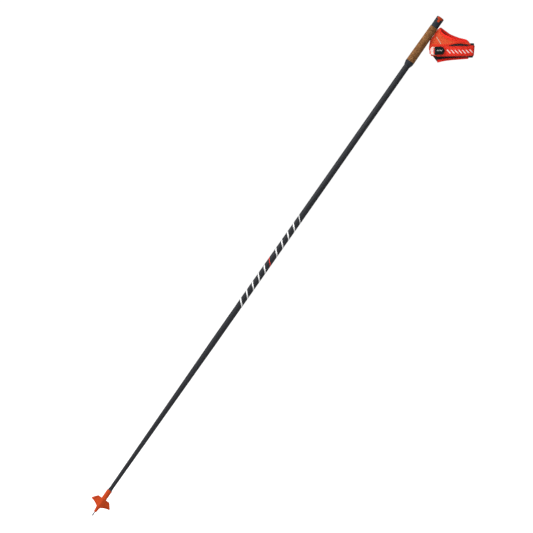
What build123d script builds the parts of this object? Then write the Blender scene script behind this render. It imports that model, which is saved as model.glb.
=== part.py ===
from build123d import *
from math import cos, radians, sin, sqrt
import os

# Cross-country ski pole, millimetres.
# The pole stands upright: +Z up the shaft, origin at the point of the tip, on the shaft's axis.
# The hand strap leaves the back of the grip towards +X, and its near side faces -Y.

# ---- shaft ----
SHAFT_RADIUS = 8.0
SHAFT_END_RADIUS = 4.8
SHAFT_WALL = 1.1
SHAFT_START = 32.0
TAPER_TOP = 542.0
SHAFT_TOP = 1518.0
FIT = 0.05

# ---- tip ----
POINT_RADIUS = 0.96
POINT_CROWN = 0.25
POINT_CONE = 1.4
PIN_RADIUS = 1.75
PIN_VISIBLE = 11.9
CARBIDE_LENGTH = 3.2
SHANK_COLLAR_RADIUS = 2.6
SHANK_COLLAR_BOTTOM = 13.9
SHANK_COLLAR_TOP = 25.0
SHANK_NECK = 27.0
SHANK_TOP = 30.0

# ---- basket ----
NOSE_MOUTH_RADIUS = 2.4
NOSE_RADIUS = 3.8
NOSE_CHAMFER = 1.6
NOSE_SHOULDER_RADIUS = 4.6
NOSE_TOP = 22.0
SOCKET_FOOT_RADIUS = 6.35
SOCKET_FOOT = 31.0
SOCKET_RADIUS = 6.85
SOCKET_FULL = 39.0
SOCKET_RIM = 0.8
SOCKET_TOP = 78.8
SEAL_TOP = 83.4
SEAL_RADIUS = 5.7
SEAL_CHAMFER = (0.25, 0.5)
WING_SPAN = 28.0
WING_TOP = 52.2
WING_ROOT = (0.0, 23.0)
WING_LOWER_EDGE = [(5.0, 26.8), (13.5, 31.8), (26.2, 35.3)]
WING_TIP = (WING_SPAN, 37.4)
WING_UPPER_EDGE = [(27.0, 39.3), (18.0, 51.0), (16.0, WING_TOP)]
WING_SWEEP = 13.0
WING_THICKNESS = 2.6
WING_PROUD = 0.4
POCKET_DEPTH = 1.4
POCKET_OUTLINE = [(7.6, 31.4), (22.8, 38.0), (15.6, 49.6), (7.6, 49.6)]
POCKET_ROUND = 1.0
RIB_BOTTOM = 42.0
RIB_THICKNESS = 2.2
RIB_SPAN = 16.2
RIB_BACK = 7.95

# ---- grip ----
COLLAR_BOTTOM = 1399.7
CORK_BOTTOM = 1413.5
CORK_TOP = 1519.6
POLE_TOP = 1550.0
CORK_BOTTOM_RADIUS = 11.4
CORK_TOP_RADIUS = 10.35
CORE_RADIUS = 9.1
HEAD_FOOT_RADIUS = 9.75
HEAD_RADIUS = 10.0
HEAD_CROWN = 2.6
COLLAR_LIP_RADIUS = 8.8
COLLAR_FLARE = [(10.2, 1405.0), (11.2, 1408.0), (CORK_BOTTOM_RADIUS, 1410.5)]

# ---- strap wedge and the web that it clamps ----
WEDGE_BAR_HALF = 7.1
WEDGE_BAR_BOTTOM = 1543.6
WEDGE_STEM_HALF = 3.0
WEDGE_STEM_BOTTOM = 1535.0
WEDGE_FOOT_BOTTOM = 1522.9
WEDGE_FOOT_HALF = 2.9
WEDGE_BACK = 6.4
WEDGE_GAP = 0.1
WEB_WIDTH = 7.0
WEB_FLARE = 12.0
WEB_THICKNESS = 1.6
WEB_SLOT_WIDTH = 8.4
WEB_SLOT_BOTTOM = 1520.4
WEB_SLOT_TOP = 1523.2
WEB_CHANNEL_END = -5.4
WEB_BOTTOM = 1520.8
WEB_EXIT = 9.6
WEB_START = 10.6
WEB_LENGTH = 17.2
WEB_DROP = 3.2
WEB_SIDE_GAP = 0.2
TAIL_TOP = 1536.0
TAIL_X = -5.1
TAIL_ROOM = 1.0

# ---- hand strap ----
LEAN = 35.0
APEX = Vector(14.3, 0, 1529.0)
SWING_PIVOT = Vector(11.8, 0, 1521.5)
SWING_LIMIT = 60.0
CUFF_LEFT = -31.0
CUFF_MIDDLE = 35.0
CUFF_HALF = 13.0
CUFF_SHOULDER = 76.0
CUFF_RIGHT = 86.4
BAND_TOP = -47.0
BAND_BOTTOM = -74.0
STRAP_TALL = 140.0
STRAP_BELOW = -120.0
SIDE_REACH = 40.0
BAND_REACH = 91.0

# Depths of the fabric layers, counted inwards from the band's outer face.
BAND_DEPTH = 1.4
PANEL_DEPTH = 2.6
PIPING_HEIGHT = 0.6
LINING_DEPTH = 3.4
PAD_DEPTH = 4.4
BINDING_OUT = 0.9
BINDING_IN = 4.0
BINDING_WIDTH = 4.0

# Heights of the closure's layers, counted outwards from the band's outer face.
LOOP_HEIGHT = 0.8
HOOK_BOTTOM = 1.1
HOOK_TOP = 1.9
END_TOP = 3.2
TAB_TOP = 4.8
RING_HEIGHT = 1.5
RING_LEFT = -26.2
RING_RIGHT = -12.2
RING_SLOT_LEFT = -18.8
RING_SLOT_RIGHT = -15.4
RING_EDGE = 2.2
RING_BOW_ROUND = 6.0
RING_BAR_ROUND = 1.2
RING_SLOT_ROOM = 0.3
KEEPER_LEFT = -36.0
BAND_LEFT = -11.8
FAR_BAND_LEFT = -5.0
KEEPER_RIGHT = -8.0
FOLD_LEFT = -17.6
FOLD_RIGHT = -15.6
CLOSURE_PIVOT_S = -16.6
TAB_LEFT = -16.2
TAB_RIGHT = 8.9
TAB_UPPER = -49.5
TAB_LOWER = -69.9
TONGUE_UPPER = -52.0
TONGUE_LOWER = -67.4
TAB_ROUND = 9.8
PATCH_LEFT = -11.0
PATCH_RIGHT = 5.0
PATCH_EDGE = 1.0
END_RIGHT = 6.0

# ---- outlines of the fabric, in the strap's plane: (S, T) from the apex ----
REAR_CORNER = (-9.4, -6.2)
NEAR_EDGE = [(-1.0, -1.5), (3.7, -12.3), (12.9, -19.8), (39.0, -30.3), (66.0, -36.7)]
FAR_EDGE = [(2.5, -1.5), (17.2, -12.2), (46.2, -26.0), (67.0, -31.5)]
REAR_EDGE = [REAR_CORNER, (-17.0, -18.3), (-22.1, -26.0), (-25.8, -32.8), (-28.3, -50.0)]
BAND_SLIT = [(16.0, -46.4), (48.0, -41.6), (76.0, -45.2)]
FAR_FOOT = [(-9.5, -82.6), (28.0, -78.4), (72.0, -76.2)]
FAR_HEM = [(-6.8, -89.3), (28.0, -82.9), (71.4, -79.6)]
EDGE_LOWERING = (0.42 * BINDING_WIDTH, 0.91 * BINDING_WIDTH)
NEAR_FRONT_TOP = -42.2
NEAR_FOOT_REAR = (-26.3, -72.4)
NEAR_FOOT_MIDDLE = (-8.0, -72.4)
NEAR_FOOT_FRONT = (14.0, -60.0)
NEAR_LINING_REAR = -26.0
FAR_LINING_REAR = -20.0
PANEL_RIGHT = 76.0
PAD_LEFT = 45.0
PAD_END_LEFT = 76.3
PAD_TOP = -41.2
PAD_BOTTOM = -75.8
PIPING_OUTLINE = [(-11.0, -24.0), (-9.0, -23.2), (4.0, -41.0), (2.0, -41.8)]

# The strap lies in a leaning plane: S runs along the band, T across it.
S_DIR = Vector(cos(radians(LEAN)), 0, sin(radians(LEAN)))
T_DIR = Vector(-sin(radians(LEAN)), 0, cos(radians(LEAN)))
STRAP_PLANE = Plane(origin=APEX, x_dir=S_DIR, z_dir=(0, -1, 0))

os.makedirs("parts", exist_ok=True)


def save(part, name):
    """Label a finished piece and write it as one STEP file."""
    part.label = name
    export_step(part, f"parts/{name}.step")


def shaft_profile(clearance):
    """Half section of the shaft's outside, grown by a clearance."""
    with BuildLine() as line:
        Polyline(
            (0, SHAFT_START),
            (SHAFT_END_RADIUS + clearance, SHAFT_START),
            (SHAFT_RADIUS + clearance, TAPER_TOP),
            (SHAFT_RADIUS + clearance, SHAFT_TOP),
            (0, SHAFT_TOP),
            close=True,
        )
    return make_face(line.line)


def head_profile():
    """Half section of the grip's head, with a rounded crown."""
    with BuildLine() as line:
        Line((0, CORK_TOP), (HEAD_FOOT_RADIUS, CORK_TOP))
        Line((HEAD_FOOT_RADIUS, CORK_TOP), (HEAD_RADIUS, POLE_TOP - HEAD_CROWN))
        RadiusArc((HEAD_RADIUS, POLE_TOP - HEAD_CROWN), (HEAD_RADIUS - HEAD_CROWN, POLE_TOP), -HEAD_CROWN)
        Line((HEAD_RADIUS - HEAD_CROWN, POLE_TOP), (0, POLE_TOP))
        Line((0, POLE_TOP), (0, CORK_TOP))
    return make_face(line.line)


# ---- shaft: a hollow tube, tapered below and straight above ----
with BuildPart() as shaft:
    with BuildSketch(Plane.XZ):
        add(shaft_profile(0))
        with BuildLine():
            Polyline(
                (0, SHAFT_START),
                (SHAFT_END_RADIUS - SHAFT_WALL, SHAFT_START),
                (SHAFT_RADIUS - SHAFT_WALL, TAPER_TOP),
                (SHAFT_RADIUS - SHAFT_WALL, SHAFT_TOP),
                (0, SHAFT_TOP),
                close=True,
            )
        make_face(mode=Mode.SUBTRACT)
    revolve(axis=Axis.Z)
save(shaft.part, "shaft")

# ---- tip: a steel core in the nose, with a hard-metal point below it ----
with BuildPart() as tip_shank:
    with BuildSketch(Plane.XZ):
        with BuildLine():
            Polyline(
                (0, CARBIDE_LENGTH),
                (PIN_RADIUS, CARBIDE_LENGTH),
                (PIN_RADIUS, PIN_VISIBLE),
                (SHANK_COLLAR_RADIUS, SHANK_COLLAR_BOTTOM),
                (SHANK_COLLAR_RADIUS, SHANK_COLLAR_TOP),
                (PIN_RADIUS, SHANK_NECK),
                (PIN_RADIUS, SHANK_TOP),
                (0, SHANK_TOP),
                close=True,
            )
        make_face()
    revolve(axis=Axis.Z)
save(tip_shank.part, "tip_shank")

with BuildPart() as carbide_tip:
    with BuildSketch(Plane.XZ):
        with BuildLine():
            Polyline(
                (0, 0),
                (POINT_RADIUS, POINT_CROWN),
                (PIN_RADIUS, POINT_CONE),
                (PIN_RADIUS, CARBIDE_LENGTH),
                (0, CARBIDE_LENGTH),
                close=True,
            )
        make_face()
    revolve(axis=Axis.Z)
save(carbide_tip.part, "carbide_tip")


def swept_layer(front, back):
    """Vee-shaped layer of the basket, seen from above: its ridge faces -Y and its sides sweep back."""
    reach = WING_SPAN * 1.2
    drop = WING_SWEEP * 1.2
    with BuildPart() as layer:
        with BuildSketch(Plane.XY.offset(NOSE_TOP)):
            with BuildLine():
                Polyline(
                    (0, front),
                    (reach, front + drop),
                    (reach, back + drop),
                    (0, back),
                    (-reach, back + drop),
                    (-reach, front + drop),
                    close=True,
                )
            make_face()
        extrude(amount=1.2 * (WING_TOP - NOSE_TOP))
    return layer.part


def wing_outline():
    """Front outline of one wing, from the ridge to the +X side."""
    with BuildSketch(Plane.XZ) as outline:
        with BuildLine():
            Line(WING_ROOT, WING_LOWER_EDGE[0])
            Spline(*WING_LOWER_EDGE)
            ThreePointArc(WING_LOWER_EDGE[-1], WING_TIP, WING_UPPER_EDGE[0])
            Polyline(*WING_UPPER_EDGE, (0, WING_TOP), WING_ROOT)
        make_face()
    return outline.sketch


# ---- basket: socket, nose and two swept wings in one moulding ----
wing_front = -SOCKET_RADIUS - WING_PROUD
wing_layer = swept_layer(wing_front, wing_front + WING_THICKNESS)
pocket_layer = swept_layer(2 * wing_front, wing_front + POCKET_DEPTH)

with BuildPart() as wing_plate:
    add(wing_layer)
    with BuildSketch(Plane.XZ):
        add(wing_outline())
        mirror(about=Plane.YZ)
    extrude(amount=WING_SPAN, both=True, mode=Mode.INTERSECT)

with BuildSketch(Plane.XZ) as pocket_outline:
    with BuildLine():
        Polyline(*POCKET_OUTLINE, close=True)
    make_face()
    fillet(pocket_outline.vertices(), radius=POCKET_ROUND)
    mirror(about=Plane.YZ)

with BuildPart() as wing_pocket:
    add(pocket_layer)
    with BuildSketch(Plane.XZ):
        add(pocket_outline.sketch)
    extrude(amount=WING_SPAN, both=True, mode=Mode.INTERSECT)

rib_front = wing_front + WING_THICKNESS / 2
rib_side = rib_front + WING_SWEEP * RIB_SPAN / WING_SPAN
with BuildPart() as wing_rib:
    with BuildSketch(Plane.XY.offset(RIB_BOTTOM)):
        with BuildLine():
            Polyline(
                (0, rib_front),
                (RIB_SPAN, rib_side),
                (0, RIB_BACK),
                (-RIB_SPAN, rib_side),
                close=True,
            )
        make_face()
    extrude(amount=RIB_THICKNESS)

with BuildPart() as basket:
    with BuildSketch(Plane.XZ):
        with BuildLine():
            Polyline(
                (0, PIN_VISIBLE),
                (NOSE_MOUTH_RADIUS, PIN_VISIBLE),
                (NOSE_RADIUS, PIN_VISIBLE + NOSE_CHAMFER),
                (NOSE_SHOULDER_RADIUS, NOSE_TOP),
                (SOCKET_FOOT_RADIUS, SOCKET_FOOT),
                (SOCKET_RADIUS, SOCKET_FULL),
                (SOCKET_RADIUS, SOCKET_TOP - SOCKET_RIM),
                (SOCKET_RADIUS - SOCKET_RIM, SOCKET_TOP),
                (0, SOCKET_TOP),
                close=True,
            )
        make_face()
    revolve(axis=Axis.Z)
    add(wing_plate.part)
    add(wing_rib.part)
    add(wing_pocket.part, mode=Mode.SUBTRACT)
    add(tip_shank.part, mode=Mode.SUBTRACT)
    with BuildSketch(Plane.XZ):
        add(shaft_profile(FIT))
    revolve(axis=Axis.Z, mode=Mode.SUBTRACT)
save(basket.part, "basket")

with BuildPart() as basket_seal:
    with BuildSketch(Plane.XZ):
        with BuildLine():
            Polyline(
                (0, SOCKET_TOP),
                (SEAL_RADIUS, SOCKET_TOP),
                (SEAL_RADIUS, SEAL_TOP - SEAL_CHAMFER[1]),
                (SEAL_RADIUS - SEAL_CHAMFER[0], SEAL_TOP),
                (0, SEAL_TOP),
                close=True,
            )
        make_face()
        add(shaft_profile(0), mode=Mode.SUBTRACT)
    revolve(axis=Axis.Z)
save(basket_seal.part, "basket_seal")

# ---- grip: collar, cork and a moulded head whose core runs down inside the cork ----
with BuildPart() as grip_collar:
    with BuildSketch(Plane.XZ):
        with BuildLine():
            Polyline(
                (SHAFT_RADIUS + FIT, COLLAR_BOTTOM),
                (COLLAR_LIP_RADIUS, COLLAR_BOTTOM),
                *COLLAR_FLARE,
                (CORK_BOTTOM_RADIUS, CORK_BOTTOM),
                (SHAFT_RADIUS + FIT, CORK_BOTTOM),
                close=True,
            )
        make_face()
    revolve(axis=Axis.Z)
save(grip_collar.part, "grip_collar")

with BuildPart() as cork_sleeve:
    with BuildSketch(Plane.XZ):
        with BuildLine():
            Polyline(
                (CORE_RADIUS + FIT, CORK_BOTTOM),
                (CORK_BOTTOM_RADIUS, CORK_BOTTOM),
                (CORK_TOP_RADIUS, CORK_TOP),
                (CORE_RADIUS + FIT, CORK_TOP),
                close=True,
            )
        make_face()
    revolve(axis=Axis.Z)
save(cork_sleeve.part, "cork_sleeve")


def wedge_shape(gap):
    """The wedge's tee and its foot, grown by a gap for the pocket that it sits in."""
    with BuildPart() as tee:
        with BuildSketch(Plane.XZ.offset(-WEDGE_BACK - gap)):
            with Locations((0, (WEDGE_BAR_BOTTOM + POLE_TOP) / 2)):
                Rectangle(2 * (WEDGE_BAR_HALF + gap), POLE_TOP - WEDGE_BAR_BOTTOM + 2 * gap)
            stem_middle = (WEDGE_STEM_BOTTOM + WEDGE_STEM_HALF + WEDGE_BAR_BOTTOM) / 2
            stem_height = WEDGE_BAR_BOTTOM - WEDGE_STEM_BOTTOM - WEDGE_STEM_HALF
            with Locations((0, stem_middle)):
                Rectangle(2 * (WEDGE_STEM_HALF + gap), stem_height + 2 * gap)
            with Locations((0, WEDGE_STEM_BOTTOM + WEDGE_STEM_HALF)):
                Circle(WEDGE_STEM_HALF + gap)
        extrude(amount=WEDGE_BACK + gap + HEAD_RADIUS)
        foot_height = WEDGE_STEM_BOTTOM + WEDGE_STEM_HALF - WEDGE_FOOT_BOTTOM
        with Locations((0, 0, WEDGE_FOOT_BOTTOM + foot_height / 2)):
            Box(2 * (WEDGE_FOOT_HALF + gap), 2 * (WEDGE_BACK + gap), foot_height)
    return tee.part


wedge_blank = wedge_shape(0)
wedge_pocket = wedge_shape(WEDGE_GAP)
channel_length = 1.5 * HEAD_RADIUS - WEB_CHANNEL_END

with BuildPart() as grip_core:
    with BuildSketch(Plane.XZ):
        add(head_profile())
        with Locations((CORE_RADIUS / 2, (CORK_BOTTOM + CORK_TOP) / 2)):
            Rectangle(CORE_RADIUS, CORK_TOP - CORK_BOTTOM)
    revolve(axis=Axis.Z)
    with BuildSketch(Plane.XZ):
        add(shaft_profile(FIT))
    revolve(axis=Axis.Z, mode=Mode.SUBTRACT)
    add(wedge_pocket, mode=Mode.SUBTRACT)
    with Locations((WEB_CHANNEL_END, 0, WEB_SLOT_BOTTOM)):
        Box(
            channel_length,
            WEB_SLOT_WIDTH,
            WEB_SLOT_TOP - WEB_SLOT_BOTTOM,
            align=(Align.MIN, Align.CENTER, Align.MIN),
            mode=Mode.SUBTRACT,
        )
        Box(
            -WEB_CHANNEL_END - WEDGE_FOOT_HALF,
            WEB_SLOT_WIDTH,
            TAIL_TOP + TAIL_ROOM - WEB_SLOT_BOTTOM,
            align=(Align.MIN, Align.CENTER, Align.MIN),
            mode=Mode.SUBTRACT,
        )
save(grip_core.part, "grip_core")

with BuildPart() as strap_wedge:
    with BuildSketch(Plane.XZ):
        add(head_profile())
    revolve(axis=Axis.Z)
    add(wedge_blank, mode=Mode.INTERSECT)
save(strap_wedge.part, "strap_wedge")

# ---- web: the tail clamped in the head, and the length that carries the harness ----
with BuildPart() as web_tail:
    with BuildSketch(Plane.XZ.offset(-WEB_WIDTH / 2)):
        with BuildLine():
            Polyline(
                (WEB_EXIT, WEB_BOTTOM),
                (WEB_EXIT, WEB_BOTTOM + WEB_THICKNESS),
                (TAIL_X + WEB_THICKNESS, WEB_BOTTOM + WEB_THICKNESS),
                (TAIL_X + WEB_THICKNESS, TAIL_TOP),
                (TAIL_X, TAIL_TOP),
                (TAIL_X, WEB_BOTTOM),
                close=True,
            )
        make_face()
    extrude(amount=WEB_WIDTH)
save(web_tail.part, "web_tail")

with BuildPart() as strap_web:
    with BuildSketch(Plane.XZ.offset(-WEB_FLARE / 2)):
        with BuildLine():
            Polyline(
                (WEB_START, WEB_BOTTOM),
                (WEB_START + WEB_LENGTH, WEB_BOTTOM - WEB_DROP),
                (WEB_START + WEB_LENGTH, WEB_BOTTOM - WEB_DROP + WEB_THICKNESS),
                (WEB_START, WEB_BOTTOM + WEB_THICKNESS),
                close=True,
            )
        make_face()
    extrude(amount=WEB_FLARE)
    with BuildSketch(Plane.XY.offset(WEB_BOTTOM)):
        with BuildLine():
            Polyline(
                (WEB_START, WEB_SIDE_GAP - WEB_WIDTH / 2),
                (WEB_START + WEB_LENGTH, WEB_SIDE_GAP - WEB_FLARE / 2),
                (WEB_START + WEB_LENGTH, WEB_FLARE / 2 - WEB_SIDE_GAP),
                (WEB_START, WEB_WIDTH / 2 - WEB_SIDE_GAP),
                close=True,
            )
        make_face()
    extrude(amount=WEB_LENGTH, both=True, mode=Mode.INTERSECT)
save(strap_web.part, "strap_web")


def cuff_plane(height):
    """Plane across the strap at height T: local x is S, local y is Y."""
    return Plane(origin=APEX + T_DIR * height, x_dir=S_DIR, z_dir=T_DIR)


def cuff_half(s, depth=0.0):
    """Half thickness of the loop at S; a negative depth lies outside the band."""
    radius = ((CUFF_MIDDLE - CUFF_LEFT) ** 2 + CUFF_HALF**2) / (2 * CUFF_HALF)
    return sqrt((radius - depth) ** 2 - (s - CUFF_MIDDLE) ** 2) - (radius - CUFF_HALF)


def cuff_section(depth):
    """The flattened loop of the strap seen along T, drawn in by a depth."""
    shoulder = cuff_half(CUFF_SHOULDER)
    with BuildSketch() as section:
        with BuildLine():
            ThreePointArc((CUFF_LEFT, 0), (CUFF_MIDDLE, -CUFF_HALF), (CUFF_SHOULDER, -shoulder))
            ThreePointArc((CUFF_SHOULDER, -shoulder), (CUFF_RIGHT, 0), (CUFF_SHOULDER, shoulder))
            ThreePointArc((CUFF_SHOULDER, shoulder), (CUFF_MIDDLE, CUFF_HALF), (CUFF_LEFT, 0))
        make_face()
        if depth:
            offset(amount=-depth, kind=Kind.INTERSECTION)
    return section.sketch


def cuff_layer(outer, inner):
    """Closed wall between two depths of the loop, as tall as the whole strap."""
    with BuildPart() as layer:
        with BuildSketch(cuff_plane(STRAP_BELOW)):
            add(cuff_section(outer))
            add(cuff_section(inner), mode=Mode.SUBTRACT)
        extrude(amount=STRAP_TALL)
    return layer.part


def strap_shape(layer, near=None, far=None):
    """Cut fabric out of a layer by one outline on the near side, one on the far side, or both."""
    sides = []
    for outline, reach in ((near, SIDE_REACH), (far, -SIDE_REACH)):
        if outline:
            with BuildPart() as half:
                add(layer)
                with BuildSketch(STRAP_PLANE):
                    add(outline)
                extrude(amount=reach, mode=Mode.INTERSECT)
            sides.append(half.part)
    with BuildPart() as shape:
        add(sides)
    return shape.part


def face_of(*edges):
    """Flat face bounded by the given chain of point lists; three or more points make a spline."""
    with BuildSketch() as face:
        with BuildLine():
            for points in edges:
                if len(points) > 2:
                    Spline(*points)
                else:
                    Line(*points)
        make_face()
    return face.sketch


def lowered(points):
    """A fan's top edge moved down across its slope by the width of its binding."""
    return [(s - EDGE_LOWERING[0], t - EDGE_LOWERING[1]) for s, t in points]


near_inner_edge = lowered(NEAR_EDGE)
far_inner_edge = lowered(FAR_EDGE)

near_outline = face_of(
    REAR_EDGE,
    [REAR_EDGE[-1], NEAR_FOOT_REAR],
    [NEAR_FOOT_REAR, NEAR_FOOT_MIDDLE],
    [NEAR_FOOT_MIDDLE, NEAR_FOOT_FRONT],
    [NEAR_FOOT_FRONT, BAND_SLIT[0]],
    BAND_SLIT,
    [BAND_SLIT[-1], (PANEL_RIGHT, NEAR_FRONT_TOP)],
    [(PANEL_RIGHT, NEAR_FRONT_TOP), near_inner_edge[-1]],
    near_inner_edge[::-1],
    [near_inner_edge[0], REAR_CORNER],
)
near_lining_outline = face_of(
    REAR_EDGE,
    [REAR_EDGE[-1], (NEAR_LINING_REAR, BAND_BOTTOM)],
    [(NEAR_LINING_REAR, BAND_BOTTOM), (PANEL_RIGHT, BAND_BOTTOM)],
    [(PANEL_RIGHT, BAND_BOTTOM), (PANEL_RIGHT, NEAR_FRONT_TOP)],
    [(PANEL_RIGHT, NEAR_FRONT_TOP), near_inner_edge[-1]],
    near_inner_edge[::-1],
    [near_inner_edge[0], REAR_CORNER],
)
near_binding_outline = face_of(
    NEAR_EDGE,
    [NEAR_EDGE[-1], near_inner_edge[-1]],
    near_inner_edge[::-1],
    [near_inner_edge[0], NEAR_EDGE[0]],
)
far_outline = face_of(
    REAR_EDGE,
    [REAR_EDGE[-1], (FAR_LINING_REAR, BAND_BOTTOM)],
    [(FAR_LINING_REAR, BAND_BOTTOM), FAR_FOOT[0]],
    FAR_FOOT,
    [FAR_FOOT[-1], (PANEL_RIGHT, BAND_TOP)],
    [(PANEL_RIGHT, BAND_TOP), far_inner_edge[-1]],
    far_inner_edge[::-1],
    [far_inner_edge[0], REAR_CORNER],
)
far_binding_outline = face_of(
    FAR_EDGE,
    [FAR_EDGE[-1], far_inner_edge[-1]],
    far_inner_edge[::-1],
    [far_inner_edge[0], FAR_EDGE[0]],
)
lower_binding_outline = face_of(
    FAR_FOOT,
    [FAR_FOOT[-1], FAR_HEM[-1]],
    FAR_HEM[::-1],
    [FAR_HEM[0], FAR_FOOT[0]],
)
with BuildSketch() as piping_outline:
    with BuildLine():
        Polyline(*PIPING_OUTLINE, close=True)
    make_face()


def rectangle_of(left, right, top, bottom):
    """Upright rectangle in the strap's plane."""
    with BuildSketch() as rectangle:
        with Locations(((left + right) / 2, (top + bottom) / 2)):
            Rectangle(right - left, top - bottom)
    return rectangle.sketch


tongue_middle = (TONGUE_UPPER + TONGUE_LOWER) / 2

with BuildSketch() as band_near_outline:
    add(rectangle_of(BAND_LEFT, BAND_REACH, BAND_TOP, BAND_BOTTOM))
    add(rectangle_of(FOLD_LEFT, BAND_LEFT, TONGUE_UPPER, TONGUE_LOWER))

with BuildSketch() as ring_outline:
    add(rectangle_of(RING_LEFT, RING_RIGHT, TONGUE_UPPER + RING_EDGE, TONGUE_LOWER - RING_EDGE))
    fillet(ring_outline.vertices().group_by(Axis.X)[0], radius=RING_BOW_ROUND)
    fillet(ring_outline.vertices().group_by(Axis.X)[-1], radius=RING_BAR_ROUND)
    slot_top = TONGUE_UPPER + RING_SLOT_ROOM
    slot_bottom = TONGUE_LOWER - RING_SLOT_ROOM
    slot = rectangle_of(RING_SLOT_LEFT, RING_SLOT_RIGHT, slot_top, slot_bottom)
    add(slot, mode=Mode.SUBTRACT)

with BuildSketch() as tab_outline:
    add(rectangle_of(TAB_LEFT, TAB_RIGHT, TAB_UPPER, TAB_LOWER))
    fillet(tab_outline.vertices().group_by(Axis.X)[-1], radius=TAB_ROUND)

# ---- harness: two fans of mesh with their linings and bindings ----
panel_layer = cuff_layer(BAND_DEPTH, PANEL_DEPTH)
lining_layer = cuff_layer(PANEL_DEPTH, LINING_DEPTH)
binding_layer = cuff_layer(BINDING_OUT, BINDING_IN)
band_layer = cuff_layer(0, BAND_DEPTH)

save(strap_shape(panel_layer, near=near_outline), "near_panel")
save(strap_shape(panel_layer, far=far_outline), "far_panel")
save(strap_shape(lining_layer, near=near_lining_outline), "near_lining")
save(strap_shape(lining_layer, far=far_outline), "far_lining")
save(strap_shape(binding_layer, near=near_binding_outline), "near_top_binding")
save(strap_shape(binding_layer, far=far_binding_outline), "far_top_binding")
save(strap_shape(binding_layer, far=lower_binding_outline), "lower_binding")
piping_layer = cuff_layer(BAND_DEPTH - PIPING_HEIGHT, BAND_DEPTH)
save(strap_shape(piping_layer, near=piping_outline.sketch), "reflective_piping")

# ---- wrist band, its padded end, and the ring that it passes through ----
wrist_band = strap_shape(
    band_layer,
    near=band_near_outline.sketch,
    far=rectangle_of(FAR_BAND_LEFT, BAND_REACH, BAND_TOP, BAND_BOTTOM),
)
save(wrist_band, "wrist_band")

pad_inside = rectangle_of(PAD_LEFT, BAND_REACH, PAD_TOP, PAD_BOTTOM)
pad_end = rectangle_of(PAD_END_LEFT, BAND_REACH, PAD_TOP, PAD_BOTTOM)
with BuildPart() as cuff_pad:
    add(strap_shape(cuff_layer(BINDING_IN, PAD_DEPTH), near=pad_inside, far=pad_inside))
    add(strap_shape(cuff_layer(BAND_DEPTH, PAD_DEPTH), near=pad_end, far=pad_end))
save(cuff_pad.part, "cuff_pad")

fold_outline = rectangle_of(FOLD_LEFT, FOLD_RIGHT, TONGUE_UPPER, TONGUE_LOWER)
save(strap_shape(cuff_layer(-RING_HEIGHT, 0), near=fold_outline), "band_fold")
save(strap_shape(cuff_layer(-RING_HEIGHT, 0), near=ring_outline.sketch), "band_ring")

keeper_near = rectangle_of(KEEPER_LEFT, RING_SLOT_LEFT, TONGUE_UPPER, TONGUE_LOWER)
keeper_far = rectangle_of(KEEPER_LEFT, KEEPER_RIGHT, TONGUE_UPPER, TONGUE_LOWER)
save(strap_shape(band_layer, near=keeper_near, far=keeper_far), "ring_keeper")

patch_outline = rectangle_of(PATCH_LEFT, PATCH_RIGHT, TONGUE_UPPER - PATCH_EDGE, TONGUE_LOWER + PATCH_EDGE)
save(strap_shape(cuff_layer(-LOOP_HEIGHT, 0), near=patch_outline), "loop_patch")

# ---- closure: the band's end with its hook patch and the rubber tab; it turns about the fold ----
pivot_middle = -(HOOK_TOP + END_TOP) / 2
closure_pivot = APEX + S_DIR * CLOSURE_PIVOT_S + T_DIR * tongue_middle
closure_pivot = closure_pivot - Vector(0, cuff_half(CLOSURE_PIVOT_S, pivot_middle), 0)
tongue_height = TONGUE_UPPER - TONGUE_LOWER

end_outline = rectangle_of(CLOSURE_PIVOT_S, END_RIGHT, TONGUE_UPPER, TONGUE_LOWER)
with BuildPart() as band_end:
    add(strap_shape(cuff_layer(-END_TOP, -HOOK_TOP), near=end_outline))
    with BuildSketch(Plane(origin=closure_pivot - T_DIR * tongue_height / 2, x_dir=S_DIR, z_dir=T_DIR)):
        Circle((END_TOP - HOOK_TOP) / 2)
    extrude(amount=tongue_height)
save(band_end.part, "band_end")

save(strap_shape(cuff_layer(-HOOK_TOP, -HOOK_BOTTOM), near=patch_outline), "hook_patch")
save(strap_shape(cuff_layer(-TAB_TOP, -END_TOP), near=tab_outline.sketch), "pull_tab")

print("strap swings about", tuple(round(v, 3) for v in SWING_PIVOT), "axis -Y to", SWING_LIMIT)
print("closure turns about", tuple(round(v, 3) for v in closure_pivot), "along", tuple(T_DIR))
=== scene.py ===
import math
import bmesh
import bpy
import numpy as np
from mathutils import Matrix, Vector, noise


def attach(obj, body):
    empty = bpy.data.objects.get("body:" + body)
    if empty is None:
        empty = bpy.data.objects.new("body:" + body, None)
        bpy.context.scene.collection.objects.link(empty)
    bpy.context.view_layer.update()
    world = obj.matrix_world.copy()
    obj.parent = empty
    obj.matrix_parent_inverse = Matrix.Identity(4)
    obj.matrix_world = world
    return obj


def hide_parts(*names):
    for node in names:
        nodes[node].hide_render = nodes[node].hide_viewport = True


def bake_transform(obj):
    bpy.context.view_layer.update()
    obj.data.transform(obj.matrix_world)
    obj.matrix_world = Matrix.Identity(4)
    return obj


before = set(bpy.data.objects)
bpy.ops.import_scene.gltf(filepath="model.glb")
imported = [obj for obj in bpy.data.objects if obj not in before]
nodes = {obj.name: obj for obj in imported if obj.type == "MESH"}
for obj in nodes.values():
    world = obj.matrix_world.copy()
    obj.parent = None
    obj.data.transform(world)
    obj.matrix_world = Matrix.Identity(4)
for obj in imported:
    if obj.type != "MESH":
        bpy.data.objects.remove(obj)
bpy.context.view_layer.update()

MM = 0.001

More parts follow.
